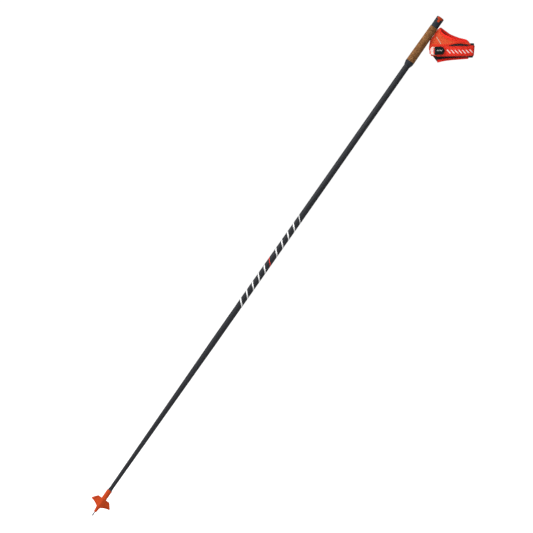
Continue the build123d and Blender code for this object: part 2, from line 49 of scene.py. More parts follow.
# -------------------------------- the strap's own frame
# S runs along the wrist band, T across it, and Y through the strap, in millimetres from the strap's apex.
LEAN = math.radians(35)
S_DIR = np.array([math.cos(LEAN), 0, math.sin(LEAN)])
T_DIR = np.array([-math.sin(LEAN), 0, math.cos(LEAN)])
Y_DIR = np.array([0.0, 1.0, 0.0])
APEX = np.array([0.0143, 0, 1.529])
NEAR, FAR = -1.0, 1.0

# The flattened loop of the strap in plan, as thick as twice CUFF_HALF at its middle.
CUFF_LEFT, CUFF_MIDDLE, CUFF_SHOULDER, CUFF_RIGHT = -31.0, 35.0, 76.0, 86.4
CUFF_HALF = 13.0

# Depths of the layers under the band's outer face, and the half thickness where they begin to be pressed.
BAND_THICK = 1.4
PANEL_THICK = 1.2
LINING_DEPTH = 2.6
LINING_THICK = 0.8
PRESSED = 4.3
PRESSED_LEAST = 0.12

# Where the fans meet the web, and how far from there they narrow and hang free.
FAN_ROOT_S, FAN_ROOT_T = -3.1, -6.6
NARROW_LEAST = 0.60
NARROW_REACH = (4.0, 52.0)
FREE_REACH = (10.0, 30.0)
HELD_LINE_T = -59.4
HELD_BESIDE = (13.0, 24.0)

BAND_TOP, BAND_BOTTOM = -47.0, -74.0
TONGUE_UPPER, TONGUE_LOWER = -52.0, -67.4
TONGUE_MIDDLE = (TONGUE_UPPER + TONGUE_LOWER) / 2

# Edges of the fans as (S, T).
REAR_EDGE = [(-9.4, -6.2), (-17.3, -18.3), (-22.6, -26.0), (-26.9, -32.6)]
REAR_EDGE += [(-28.7, -41.0), (-30.2, -50.5), (-29.4, -57.5)]
NEAR_EDGE = [(-1.5, -0.5), (1.5, -9.4), (6.4, -15.0), (12.9, -19.8)]
NEAR_EDGE += [(26.0, -26.0), (41.0, -30.9), (65.5, -36.6)]
FAR_EDGE = [(0.0, 0.8), (7.2, -4.0), (17.2, -11.1), (27.0, -17.1)]
FAR_EDGE += [(46.2, -24.4), (56.5, -27.2), (66.0, -29.6)]
FAR_HEM = [(-8.4, -88.9), (10.8, -84.6), (33.0, -82.0), (71.4, -79.2)]


# -------------------------------- materials
materials = {}


class Finish:
    """A node material, kept under its name, with short calls for the nodes that the finishes share."""

    def __init__(self, name, **constants):
        self.material = bpy.data.materials.new(name)
        materials[name] = self.material
        self.material.use_nodes = True
        self.tree = self.material.node_tree
        self.shader = self.tree.nodes["Principled BSDF"]
        for socket, value in constants.items():
            self.shader.inputs[socket.replace("_", " ")].default_value = value

    def node(self, kind, inputs=None, **settings):
        made = self.tree.nodes.new("ShaderNode" + kind)
        for key, value in settings.items():
            setattr(made, key, value)
        for key, value in (inputs or {}).items():
            if isinstance(value, bpy.types.NodeSocket):
                self.tree.links.new(value, made.inputs[key])
            else:
                made.inputs[key].default_value = value
        return made

    def place(self, kind="Object", scale=(1, 1, 1)):
        coordinates = self.node("TexCoord")
        mapping = self.node("Mapping", {"Vector": coordinates.outputs[kind], "Scale": scale})
        return mapping.outputs["Vector"]

    def cloth_axes(self):
        """The UVs in millimetres: the whole vector, then its parts along and across the cloth."""
        position = self.place("UV")
        along, across, _ = self.node("SeparateXYZ", {"Vector": position}).outputs
        return position, along, across

    def math(self, operation, first, second=0.0):
        return self.node("Math", {0: first, 1: second}, operation=operation).outputs[0]

    def times(self, first, second):
        return self.math("MULTIPLY", first, second)

    def noise(self, vector, scale, detail=4.0, roughness=0.55, distortion=0.0):
        sockets = {"Vector": vector, "Scale": scale, "Detail": detail}
        sockets.update({"Roughness": roughness, "Distortion": distortion})
        return self.node("TexNoise", sockets).outputs["Fac"]

    def ramp(self, factor, *stops):
        made = self.node("ValToRGB", {"Fac": factor})
        band = made.color_ramp
        while len(band.elements) < len(stops):
            band.elements.new(0.5)
        for element, (place, value) in zip(band.elements, stops):
            element.position = place
            element.color = (value, value, value, 1) if isinstance(value, (int, float)) else (*value, 1)
        return made.outputs["Color"]

    def mix(self, factor, first, second):
        """Blend of two colours. This node's sockets share their names, so they go by index."""
        made = self.node("Mix", {0: factor}, data_type="RGBA")
        for index, value in ((6, first), (7, second)):
            if isinstance(value, bpy.types.NodeSocket):
                self.tree.links.new(value, made.inputs[index])
            else:
                made.inputs[index].default_value = (*value, 1)
        return made.outputs[2]

    def colour(self, socket):
        self.tree.links.new(socket, self.shader.inputs["Base Color"])

    def roughness(self, socket):
        self.tree.links.new(socket, self.shader.inputs["Roughness"])

    def bump(self, height, strength, distance):
        made = self.node("Bump", {"Height": height, "Strength": strength, "Distance": distance})
        self.tree.links.new(made.outputs["Normal"], self.shader.inputs["Normal"])


def moulded(name, light, dark, rough, shine):
    """Moulded plastic: fine eroded grain, faint flow marks and slightly uneven gloss."""
    finish = Finish(name, Specular_IOR_Level=shine)
    place = finish.place()
    clouds = finish.noise(place, 60.0, 5.0)
    fine = finish.noise(place, 2600.0, 2.0)
    finish.colour(finish.mix(finish.ramp(clouds, (0.3, 0.0), (0.72, 1.0)), dark, light))
    finish.roughness(finish.ramp(clouds, (0.25, rough - 0.06), (0.75, rough + 0.08)))
    finish.bump(fine, 0.25, 0.00012)


CARBON_DARK = (0.011, 0.012, 0.014)
CARBON_LIGHT = (0.024, 0.025, 0.029)
CARBON_TOW = (0.039, 0.041, 0.045)
# Marks on the shaft: heights and sizes in millimetres, and the turn round the shaft in radians.
MARK_WHITE = (0.60, 0.60, 0.60)
MARK_RED = (0.78, 0.035, 0.015)
MARK_START = 663.0
MARK_PITCH = 26.0
MARK_WIDTH = 4.6
MARK_SLANT = 7.0
MARK_TURN = 1.25
MARK_GROUPS = ((655.0, 770.0), (808.0, 923.0))
RED_LINE_HEIGHT = 789.0
RED_LINE_HALF = 1.0


def carbon_finish():
    """Clear-coated unidirectional carbon with a crossed outer ply, plain bars and a slanted red line."""
    finish = Finish("carbon", Coat_Weight=0.03, Coat_Roughness=0.3, Coat_IOR=1.3, Specular_IOR_Level=0.06)
    position = finish.node("TexCoord").outputs["Object"]
    axes = finish.node("SeparateXYZ", {"Vector": position})
    across, depth, height = axes.outputs
    turn = finish.math("ARCTAN2", across, finish.times(depth, -1.0))
    rise = finish.times(height, 1 / MM)

    threads = finish.math("SINE", finish.times(turn, 60.0))
    lift = finish.math("SINE", finish.times(rise, 2.1))
    weave = finish.times(threads, lift)
    streaks = finish.noise(finish.place(scale=(900, 900, 8)), 1.0, 3.0)
    laminate = finish.mix(finish.ramp(streaks, (0.35, 0.0), (0.7, 1.0)), CARBON_DARK, CARBON_LIGHT)
    laminate = finish.mix(finish.ramp(weave, (0.1, 0.0), (0.9, 0.35)), laminate, CARBON_TOW)

    # Bars in two groups with a red line between them. The height, sheared by the turn, gives the slant.
    slanted = finish.math("ADD", rise, finish.times(turn, MARK_SLANT))
    phase = finish.math("PINGPONG", finish.math("SUBTRACT", slanted, MARK_START), MARK_PITCH / 2)
    bars = finish.math("LESS_THAN", phase, MARK_WIDTH / 2)
    facing = finish.math("LESS_THAN", finish.math("ABSOLUTE", turn), MARK_TURN)
    for start, end in MARK_GROUPS:
        above = finish.math("GREATER_THAN", slanted, start)
        below = finish.math("LESS_THAN", slanted, end)
        group = finish.times(finish.times(bars, facing), finish.times(above, below))
        laminate = finish.mix(group, laminate, MARK_WHITE)
    beside = finish.math("ABSOLUTE", finish.math("SUBTRACT", slanted, RED_LINE_HEIGHT))
    laminate = finish.mix(finish.math("LESS_THAN", beside, RED_LINE_HALF), laminate, MARK_RED)

    finish.colour(laminate)
    scuffs = finish.noise(finish.place(scale=(400, 400, 60)), 1.0, 6.0)
    finish.roughness(finish.ramp(scuffs, (0.3, 0.40), (0.75, 0.58)))
    finish.bump(weave, 0.12, 0.00006)


CORK_BROWN = (0.086, 0.034, 0.010)
CORK_MID = (0.143, 0.062, 0.020)
CORK_LIGHT = (0.230, 0.112, 0.043)
CORK_FLECK = (0.022, 0.008, 0.004)
CORK_GRAINS = 620.0


def cork_finish():
    """Sanded natural cork: packed granules in several browns, dark bark flecks and open pores."""
    finish = Finish("cork", Specular_IOR_Level=0.1)
    place = finish.place()
    long_place = finish.place(scale=(1, 1, 0.55))
    grains = finish.node("TexVoronoi", {"Vector": long_place, "Scale": CORK_GRAINS})
    shade = finish.node("SeparateColor", {"Color": grains.outputs["Color"]}).outputs["Red"]
    base = finish.ramp(shade, (0.0, CORK_BROWN), (0.5, CORK_MID), (1.0, CORK_LIGHT))
    clouds = finish.noise(long_place, 95.0, 6.0, 0.65)
    base = finish.mix(finish.ramp(clouds, (0.36, 0.55), (0.66, 0.0)), base, CORK_BROWN)
    streaks = finish.noise(finish.place(scale=(1, 1, 0.22)), 210.0, 5.0, 0.6)
    base = finish.mix(finish.ramp(streaks, (0.5, 0.0), (0.72, 0.45)), base, CORK_LIGHT)
    flecks = finish.noise(long_place, 330.0, 5.0, 0.7, 0.6)
    dark = finish.ramp(flecks, (0.6, 0.0), (0.68, 1.0))
    base = finish.mix(finish.times(dark, 0.8), base, CORK_FLECK)
    finish.colour(base)
    pores = finish.ramp(finish.noise(place, 900.0, 3.0, 0.6), (0.34, 0.0), (0.46, 1.0))
    cells = {"Vector": long_place, "Scale": CORK_GRAINS}
    joints = finish.node("TexVoronoi", cells, feature="DISTANCE_TO_EDGE")
    edges = finish.ramp(joints.outputs["Distance"], (0.0, 0.0), (0.07, 1.0))
    relief = finish.times(finish.times(pores, edges), finish.math("SUBTRACT", 1.0, dark))
    finish.bump(relief, 0.5, 0.0003)
    finish.roughness(finish.ramp(clouds, (0.3, 0.72), (0.7, 0.9)))


def metal(name, colour, rough):
    """Turned metal: fine rings round the pin and a little uneven polish."""
    finish = Finish(name, Metallic=1.0)
    rings = finish.noise(finish.place(scale=(1, 1, 40)), 55.0, 3.0)
    wear = finish.noise(finish.place(), 400.0, 5.0)
    dark = tuple(channel * 0.62 for channel in colour)
    finish.colour(finish.mix(finish.ramp(wear, (0.35, 0.0), (0.65, 1.0)), dark, colour))
    finish.roughness(finish.ramp(wear, (0.3, rough), (0.7, rough + 0.2)))
    finish.bump(rings, 0.25, 0.00006)


def woven(name, warp, weft, pitch, sheen=0.25, rough=0.78, depth=0.0002, marks=None):
    """Woven webbing on the piece's own UVs in millimetres: warp and weft threads cross at a pitch."""
    pile = {"Sheen_Weight": sheen, "Sheen_Roughness": 0.4, "Sheen_Tint": (*warp, 1)}
    finish = Finish(name, Specular_IOR_Level=0.15, **pile)
    position, along, across = finish.cloth_axes()
    turns = 2 * math.pi / pitch
    first = finish.math("SINE", finish.times(along, turns))
    second = finish.math("SINE", finish.times(across, turns * 0.7))
    weave = finish.times(first, second)
    tone = finish.ramp(weave, (0.15, 0.0), (0.85, 1.0))
    base = finish.mix(tone, weft, warp)
    faded = finish.noise(position, 0.11, 4.0)
    paler = tuple(min(1.0, channel * 1.12 + 0.012) for channel in warp)
    base = finish.mix(finish.ramp(faded, (0.4, 0.0), (0.75, 0.5)), base, paler)
    if marks:
        base = marks(finish, along, across, base)
    finish.colour(base)
    finish.roughness(finish.ramp(faded, (0.3, rough - 0.06), (0.7, rough + 0.08)))
    finish.bump(weave, 0.6, depth)


# The row of bars printed on the band, in millimetres along it and across it.
PRINT_WHITE = (0.62, 0.50, 0.47)
PRINT_START = 34.0
PRINT_END = 93.0
PRINT_PITCH = 9.6
PRINT_WIDTH = 3.0
PRINT_SLANT = 0.9
PRINT_ROW = -1.2
PRINT_HALF = 4.6


def band_marks(finish, along, across, base):
    """A row of plain slanted bars printed on the outside of the band."""
    slanted = finish.math("ADD", along, finish.times(across, PRINT_SLANT))
    phase = finish.math("PINGPONG", finish.math("SUBTRACT", slanted, PRINT_START), PRINT_PITCH / 2)
    bars = finish.math("LESS_THAN", phase, PRINT_WIDTH / 2)
    beside = finish.math("ABSOLUTE", finish.math("SUBTRACT", across, PRINT_ROW))
    row = finish.math("LESS_THAN", beside, PRINT_HALF)
    after = finish.math("GREATER_THAN", slanted, PRINT_START - PRINT_WIDTH)
    before = finish.math("LESS_THAN", slanted, PRINT_END)
    shown = finish.times(finish.times(bars, row), finish.times(after, before))
    worn = finish.ramp(finish.noise(finish.place("UV"), 1.4, 3.0), (0.28, 0.7), (0.5, 1.0))
    return finish.mix(finish.times(shown, worn), base, PRINT_WHITE)


def mesh_finish(name, thread, hole):
    """Spacer mesh: rows of small round holes between knitted threads, on UVs in millimetres."""
    pile = {"Sheen_Weight": 0.3, "Sheen_Roughness": 0.45, "Sheen_Tint": (*thread, 1)}
    finish = Finish(name, Specular_IOR_Level=0.12, **pile)
    position, along, across = finish.cloth_axes()
    turns = 2.6
    first = finish.math("SINE", finish.times(finish.math("ADD", along, across), turns))
    second = finish.math("SINE", finish.times(finish.math("SUBTRACT", along, across), turns))
    cells = finish.times(first, second)
    openings = finish.ramp(cells, (0.52, 0.0), (0.72, 1.0))
    clouds = finish.noise(position, 0.09, 4.0)
    paler = tuple(min(1.0, channel * 1.18 + 0.015) for channel in thread)
    base = finish.mix(finish.ramp(clouds, (0.35, 0.0), (0.7, 0.7)), thread, paler)
    finish.colour(finish.mix(finish.times(openings, 0.85), base, hole))
    finish.roughness(finish.ramp(clouds, (0.3, 0.74), (0.7, 0.88)))
    finish.bump(cells, 0.7, 0.0003)


def brushed_knit(name, colour):
    """Short brushed pile, as on a lining or a loop patch."""
    finish = Finish(name, Sheen_Weight=0.12, Sheen_Roughness=0.6, Specular_IOR_Level=0.1)
    place = finish.place()
    pile = finish.noise(place, 2600.0, 4.0, 0.7)
    clouds = finish.noise(place, 120.0, 3.0)
    paler = tuple(channel * 2.0 + 0.003 for channel in colour)
    finish.colour(finish.mix(finish.ramp(pile, (0.35, 0.0), (0.75, 1.0)), colour, paler))
    finish.roughness(finish.ramp(clouds, (0.3, 0.85), (0.7, 0.97)))
    finish.bump(pile, 0.8, 0.0003)


def rubber_finish(name, colour, shine=0.28):
    """Soft satin rubber with a faint bloom."""
    finish = Finish(name, Specular_IOR_Level=shine)
    place = finish.place()
    bloom = finish.noise(place, 160.0, 5.0)
    paler = tuple(channel * 1.6 + 0.002 for channel in colour)
    finish.colour(finish.mix(finish.ramp(bloom, (0.4, 0.0), (0.75, 1.0)), colour, paler))
    finish.roughness(finish.ramp(bloom, (0.3, 0.42), (0.7, 0.62)))
    finish.bump(finish.noise(place, 3200.0, 2.0), 0.3, 0.0001)


def clouded_plastic(name, dark, light):
    """Pale translucent moulding of the ring, with faint clouding."""
    finish = Finish(name, Subsurface_Weight=0.25, Subsurface_Scale=0.002, Specular_IOR_Level=0.5)
    place = finish.place()
    clouds = finish.noise(place, 240.0, 4.0)
    finish.colour(finish.mix(finish.ramp(clouds, (0.35, 0.0), (0.7, 1.0)), dark, light))
    finish.roughness(finish.ramp(clouds, (0.3, 0.22), (0.7, 0.36)))
    finish.bump(clouds, 0.1, 0.00008)


RED_WARP = (0.58, 0.019, 0.005)
RED_WEFT = (0.43, 0.010, 0.003)
BAND_WEFT = (0.48, 0.013, 0.004)

carbon_finish()
moulded("grip_plastic", (0.020, 0.023, 0.028), (0.011, 0.013, 0.017), 0.58, 0.07)
cork_finish()
moulded("basket_plastic", (0.39, 0.046, 0.009), (0.31, 0.034, 0.007), 0.55, 0.05)
moulded("wedge_plastic", (0.34, 0.034, 0.007), (0.26, 0.024, 0.005), 0.55, 0.06)
rubber_finish("seal_rubber", (0.012, 0.016, 0.022))
metal("steel", (0.20, 0.20, 0.21), 0.34)
metal("hard_metal", (0.12, 0.12, 0.125), 0.45)
woven("web_red", RED_WARP, RED_WEFT, 1.1)
woven("band_red", RED_WARP, BAND_WEFT, 0.7, 0.2, 0.6, 0.00012, band_marks)
woven("plain_red", RED_WARP, BAND_WEFT, 0.7, 0.2, 0.6, 0.00012)
woven("trim_red", (0.59, 0.030, 0.007), (0.46, 0.018, 0.004), 0.55, 0.2, 0.7)
woven("binding_red", (0.78, 0.017, 0.008), (0.60, 0.011, 0.006), 0.8)
mesh_finish("mesh_red", (0.47, 0.052, 0.013), (0.25, 0.017, 0.006))
brushed_knit("lining_black", (0.006, 0.006, 0.007))
brushed_knit("loop_black", (0.010, 0.010, 0.011))
woven("piping_white", (0.55, 0.38, 0.29), (0.40, 0.25, 0.18), 0.6, 0.1, 0.45)
clouded_plastic("ring_plastic", (0.54, 0.35, 0.31), (0.62, 0.47, 0.43))
rubber_finish("tab_rubber", (0.002, 0.004, 0.004), 0.05)
woven("thread_red", (0.66, 0.075, 0.025), (0.50, 0.040, 0.015), 0.3, 0.4, 0.6)
woven("thread_pale", (0.42, 0.46, 0.43), (0.26, 0.30, 0.28), 0.3, 0.2, 0.6)
rubber_finish("pale_rubber", (0.36, 0.37, 0.36))
woven("thread_dark", (0.30, 0.012, 0.008), (0.18, 0.008, 0.005), 0.3, 0.4, 0.6)


def paint(obj, material):
    obj.data.materials.clear()
    obj.data.materials.append(materials[material])


def add_object(name, data):
    obj = bpy.data.objects.new(name, data)
    bpy.context.scene.collection.objects.link(obj)
    return obj


def shade_smooth(mesh):
    mesh.polygons.foreach_set("use_smooth", [True] * len(mesh.polygons))


# -------------------------------- camera, floor and light
CAMERA_LENS = 200
CAMERA_SENSOR = 36
VIEW_WIDTH = 1.359
VIEW_CENTRE_X, VIEW_CENTRE_Z = -0.0002, 0.7753
AIM = (0, 0, 0.8)

FLOOR_HALF = 40.0
FLOOR_DROP = 0.0005


def turned_to(obj, right, up):
    """Turn an object so that its X points right and its Y points up."""
    x, y = Vector(right), Vector(up)
    obj.rotation_mode = "QUATERNION"
    obj.rotation_quaternion = Matrix((x, y, x.cross(y))).transposed().to_quaternion()


def make_camera():
    """A long lens that looks along +Y, rolled so that the pole leans across the picture."""
    data = bpy.data.cameras.new("camera")
    data.lens = CAMERA_LENS
    data.sensor_width = CAMERA_SENSOR
    camera = add_object("camera", data)
    distance = VIEW_WIDTH * CAMERA_LENS / CAMERA_SENSOR
    camera.location = (VIEW_CENTRE_X, -distance, VIEW_CENTRE_Z)
    turned_to(camera, S_DIR, T_DIR)
    data.clip_start = 0.1
    data.clip_end = 100
    bpy.context.scene.camera = camera


def softbox(name, place, size, power):
    """A rectangular light of a size in metres and a power in watts, aimed at the pole."""
    data = bpy.data.lights.new(name, "AREA")
    data.shape = "RECTANGLE"
    data.size, data.size_y = size
    data.energy = power
    light = add_object(name, data)
    light.location = place
    light.rotation_mode = "QUATERNION"
    light.rotation_quaternion = (Vector(AIM) - Vector(place)).to_track_quat("-Z", "Y")


def make_world():
    """White behind the pole and dimmer in front of it."""
    world = bpy.data.worlds.new("studio")
    world.use_nodes = True
    tree = world.node_tree
    direction = tree.nodes.new("ShaderNodeTexCoord").outputs["Generated"]
    axes = tree.nodes.new("ShaderNodeSeparateXYZ")
    tree.links.new(direction, axes.inputs[0])
    fade = tree.nodes.new("ShaderNodeMapRange")
    fade.interpolation_type = "SMOOTHSTEP"
    limits = {"From Min": 0.80, "From Max": 0.975, "To Min": 0.29, "To Max": 1.03}
    for socket, value in limits.items():
        fade.inputs[socket].default_value = value
    tree.links.new(axes.outputs["Y"], fade.inputs[0])
    tree.links.new(fade.outputs[0], tree.nodes["Background"].inputs["Strength"])
    tree.nodes["Background"].inputs["Color"].default_value = (1, 1, 1, 1)
    bpy.context.scene.world = world
    bpy.context.scene.view_settings.view_transform = "Standard"


def make_lights():
    """A soft key from the left, a fill from high up in front, and a weak rim from the right."""
    softbox("key", (-2.8, -1.5, 1.9), (1.2, 2.2), 142)
    softbox("fill", (-0.9, -3.3, 2.4), (1.4, 1.2), 46)
    softbox("rim", (1.9, -0.9, 0.4), (0.3, 2.0), 9)


def make_floor():
    """A plain pale floor that glows brighter towards the back, so that it runs into the white behind it."""
    mesh = bpy.data.meshes.new("floor")
    corners = [(x * FLOOR_HALF, y * FLOOR_HALF, 0) for x, y in ((-1, -1), (1, -1), (1, 1), (-1, 1))]
    mesh.from_pydata(corners, [], [(0, 1, 2, 3)])
    floor = add_object("floor", mesh)
    floor.location.z = -FLOOR_DROP
    pale = Finish("floor_white", Roughness=0.9, Emission_Color=(1, 1, 1, 1))
    position = pale.place()
    speckle = pale.noise(position, 3.0)
    pale.colour(pale.ramp(speckle, (0.3, 0.78), (0.7, 0.82)))
    ahead = pale.node("SeparateXYZ", {"Vector": position}).outputs["Y"]
    limits = {"From Min": -1.5, "From Max": 0.3, "To Min": 0.30, "To Max": 0.86}
    glow = pale.node("MapRange", {"Value": ahead, **limits}, interpolation_type="SMOOTHSTEP")
    pale.tree.links.new(glow.outputs[0], pale.shader.inputs["Emission Strength"])
    mesh.materials.append(pale.material)


make_camera()
make_world()
make_lights()
make_floor()


# -------------------------------- shaping helpers
def unit(vector):
    return vector / np.linalg.norm(vector)


def lengths(line):
    """Length along a line of points, at each of its points."""
    return np.concatenate([[0], np.cumsum(np.linalg.norm(np.diff(line, axis=0), axis=1))])


def directions(line):
    """Unit directions along a line of points, at each of its points."""
    along = np.gradient(line, axis=0)
    return along / np.linalg.norm(along, axis=1)[:, None]


def curve(points, count):
    """Smooth open curve through given points, evenly spaced: uniform Catmull-Rom."""
    p = np.array(points, float)
    p = np.vstack([2 * p[0] - p[1], p, 2 * p[-1] - p[-2]])
    dense = []
    for a, b, c, d in zip(p[:-3], p[1:-2], p[2:-1], p[3:]):
        square, cube = 2 * a - 5 * b + 4 * c - d, 3 * b - a - 3 * c + d
        for u in np.linspace(0, 1, 24, endpoint=False):
            dense.append(0.5 * (2 * b + (c - a) * u + square * u**2 + cube * u**3))
    dense = np.array(dense + [p[-2]])
    run = lengths(dense)
    places = np.linspace(0, run[-1], count)
    return np.stack([np.interp(places, run, dense[:, k]) for k in range(dense.shape[1])], 1)


def patch(top, bottom, rear, front, across, down):
    """Coons patch between four edges, as an array of (S, T) of shape (down, across, 2)."""
    top, bottom = curve(top, across), curve(bottom, across)
    rear, front = curve(rear, down), curve(front, down)
    u = np.linspace(0, 1, across)[None, :, None]
    v = np.linspace(0, 1, down)[:, None, None]
    ruled = (1 - v) * top[None] + v * bottom[None] + (1 - u) * rear[:, None] + u * front[:, None]
    corners = (1 - u) * (1 - v) * top[0] + u * (1 - v) * top[-1]
    corners = corners + (1 - u) * v * bottom[0] + u * v * bottom[-1]
    return ruled - corners


def cuff_half(s):
    """Half thickness of the flattened loop of the strap at S."""
    radius = ((CUFF_MIDDLE - CUFF_LEFT) ** 2 + CUFF_HALF**2) / (2 * CUFF_HALF)
    return math.sqrt(max(radius**2 - (s - CUFF_MIDDLE) ** 2, 0)) - (radius - CUFF_HALF)


CAP_TURN = 1.25
CAP_LEAD = 6.0


def cuff_loop():
    """The strap's loop in plan, (S, Y): near side from the left tip, right end, and far side."""
    shoulder = cuff_half(CUFF_SHOULDER)
    near = [(s, -cuff_half(s)) for s in np.linspace(CUFF_LEFT, CUFF_SHOULDER - CAP_LEAD, 60)]
    reach = CUFF_RIGHT - CUFF_SHOULDER
    radius = (reach**2 + shoulder**2) / (2 * reach)
    centre = CUFF_RIGHT - radius
    turns = np.linspace(-CAP_TURN, CAP_TURN, 13)
    cap = [(centre + radius * math.cos(a), radius * math.sin(a)) for a in turns]
    far = [(s, -y) for s, y in near[::-1]]
    return curve(near + cap + far, 400)


LOOP = cuff_loop()
LOOP_RUN = lengths(LOOP)
LOOP_ALONG = directions(LOOP)
LOOP_OUT = np.stack([LOOP_ALONG[:, 1], -LOOP_ALONG[:, 0]], 1)
TURN = int(np.argmax(LOOP[:, 0]))


def run_at(s, side):
    """Length along the loop at S, on the near or the far side."""
    if side == NEAR:
        return np.interp(s, LOOP[: TURN + 1, 0], LOOP_RUN[: TURN + 1])
    return np.interp(s, LOOP[TURN:, 0][::-1], LOOP_RUN[TURN:][::-1])


def s_at(run):
    return np.interp(run, LOOP_RUN, LOOP[:, 0])


def ease(value, low, high):
    """Smooth step from 0 at the low value to 1 at the high one."""
    u = np.clip((value - low) / (high - low), 0, 1)
    return u * u * (3 - 2 * u)


def slack(run, t):
    """Slow in-and-out wander of the cloth, in millimetres, shared by every layer on one side."""
    broad = noise.noise(Vector((run / 31.0, t / 24.0, 3.0)))
    return broad + 0.35 * noise.noise(Vector((run / 12.0, t / 10.0, 10.0)))


def in_frame(s, t, y):
    """Point in metres at S, T and Y in millimetres."""
    return APEX + (S_DIR * s + T_DIR * t + Y_DIR * y) * MM


def on_loop(run, t, depth, wander=0.0):
    """Point at a length along the loop, a height T and a depth under the band's outer face."""
    s, y = s_at(run), np.interp(run, LOOP_RUN, LOOP[:, 1])
    out_s = np.interp(run, LOOP_RUN, LOOP_OUT[:, 0])
    out_y = np.interp(run, LOOP_RUN, LOOP_OUT[:, 1])
    # Towards the rear fold, where both sides come together, every layer is pressed thinner.
    depth = depth * np.clip(abs(y) / PRESSED, PRESSED_LEAST, 1.0) if s < 0 else depth
    s, y = s - out_s * depth, y - out_y * depth
    # The two fans close in on the web as they near the head, and the cloth wanders where nothing holds it.
    reach = math.hypot(s - FAN_ROOT_S, t - FAN_ROOT_T)
    narrow = NARROW_LEAST + (1 - NARROW_LEAST) * ease(reach, *NARROW_REACH)
    free = ease(abs(t - HELD_LINE_T), *HELD_BESIDE) * ease(reach, *FREE_REACH)
    y = y * narrow + wander * slack(run, t) * free
    return in_frame(s, t, y)


def on_side(s, t, side, depth, wander=0.0):
    return on_loop(run_at(s, side), t, depth, wander)


def new_mesh(name, points, faces, uvs, material):
    mesh = bpy.data.meshes.new(name)
    mesh.from_pydata([tuple(p) for p in points], [], faces)
    layer = mesh.uv_layers.new(name="UVMap")
    for loop in mesh.loops:
        layer.data[loop.index].uv = uvs[loop.vertex_index]
    shade_smooth(mesh)
    obj = add_object(name, mesh)
    paint(obj, material)
    return obj


def tube_faces(count, ring):
    """Faces of a capped tube of so many rings, with so many points in a ring."""
    faces = []
    for k in range(count - 1):
        for index in range(ring):
            a, b = k * ring + index, k * ring + (index + 1) % ring
            faces.append((a, b, b + ring, a + ring))
    faces.append(tuple(range(ring))[::-1])
    faces.append(tuple((count - 1) * ring + index for index in range(ring)))
    return faces


def outward(obj):
    """Turn every face of a closed mesh outwards."""
    bm = bmesh.new()
    bm.from_mesh(obj.data)
    bmesh.ops.recalc_face_normals(bm, faces=bm.faces)
    bm.to_mesh(obj.data)
    bm.free()


def closed_sheet(name, grid, side, depth, thick, material):
    """Closed thin sheet over a grid of (S, T) on one side of the loop."""
    rows, columns = grid.shape[:2]
    runs = run_at(grid[..., 0], side)
    front, back = [], []
    for i in range(rows):
        for j in range(columns):
            run, t = runs[i, j], grid[i, j, 1]
            front.append(on_loop(run, t, depth, 1.0))
            back.append(on_loop(run, t, depth + thick, 1.0))
    uvs = [(runs.flat[k], grid[..., 1].flat[k]) for k in range(rows * columns)]
    count = rows * columns
    faces = []
    for i in range(rows - 1):
        for j in range(columns - 1):
            a, b = i * columns + j, i * columns + j + 1
            c, d = b + columns, a + columns
            faces.append((a, d, c, b))
            faces.append((a + count, b + count, c + count, d + count))
    rim = list(range(columns))
    rim += [i * columns + columns - 1 for i in range(1, rows)]
    rim += [(rows - 1) * columns + j for j in range(columns - 2, -1, -1)]
    rim += [i * columns for i in range(rows - 2, 0, -1)]
    for a, b in zip(rim, rim[1:] + rim[:1]):
        faces.append((a, b, b + count, a + count))
    obj = new_mesh(name, front + back, faces, uvs + uvs, material)
    outward(obj)
    return obj


def edge_line(points, towards, count):
    """An edge of (S, T) points made smooth, and the way into the cloth: +1 lies up the strap, -1 down."""
    line = curve(points, count)
    along = directions(line)
    inward = np.stack([along[:, 1], -along[:, 0]], 1)
    return line, inward * np.sign(inward[count // 2, 1] * towards)


def edge_tape(name, points, side, towards, widths, thick, depth, material, inset=0.0):
    """Tape along an edge, or at an inset from it: a flattened tube whose outer fold follows the line."""
    line, inward = edge_line(points, towards, 90)
    line = line + inward * inset
    width = np.interp(np.linspace(0, 1, len(line)), np.linspace(0, 1, len(widths)), widths)
    section = []
    for angle in np.linspace(0, 2 * math.pi, 15, endpoint=False):
        c, s = math.cos(angle), math.sin(angle)
        section.append((0.5 * (1 - np.sign(c) * abs(c) ** 0.6), thick / 2 * np.sign(s) * abs(s) ** 0.6))
    points, uvs = [], []
    length = lengths(line)
    for k in range(len(line)):
        for index, (into, through) in enumerate(section):
            s, t = line[k] + inward[k] * (into * width[k])
            points.append(on_side(s, t, side, depth + through, 1.0))
            uvs.append((length[k], index * 0.8))
    obj = new_mesh(name, points, tube_faces(len(line), len(section)), uvs, material)
    outward(obj)
    return obj


STITCH_SHARE = 0.36
STITCH_RINGS = ((0.0, 0.25), (0.2, 0.85), (0.5, 1.0), (0.8, 0.85), (1.0, 0.25))
STITCH_SIDES = 6


def stitches(name, rows, material, pitch=2.6, radius=0.32):
    """Rows of short raised threads. Each row is a line of points with their outward directions."""
    points, faces, uvs = [], [], []
    for line, out in rows:
        run = lengths(line) / MM
        for start in np.arange(pitch * 0.5, run[-1] - pitch * 0.5, pitch):
            ends = [start - pitch * STITCH_SHARE, start + pitch * STITCH_SHARE]
            a, b = [np.array([np.interp(e, run, line[:, k]) for k in range(3)]) for e in ends]
            up = np.array([np.interp(start, run, out[:, k]) for k in range(3)])
            thread_faces(points, faces, uvs, a, b, up, radius * MM)
    return new_mesh(name, points, faces, uvs, material)


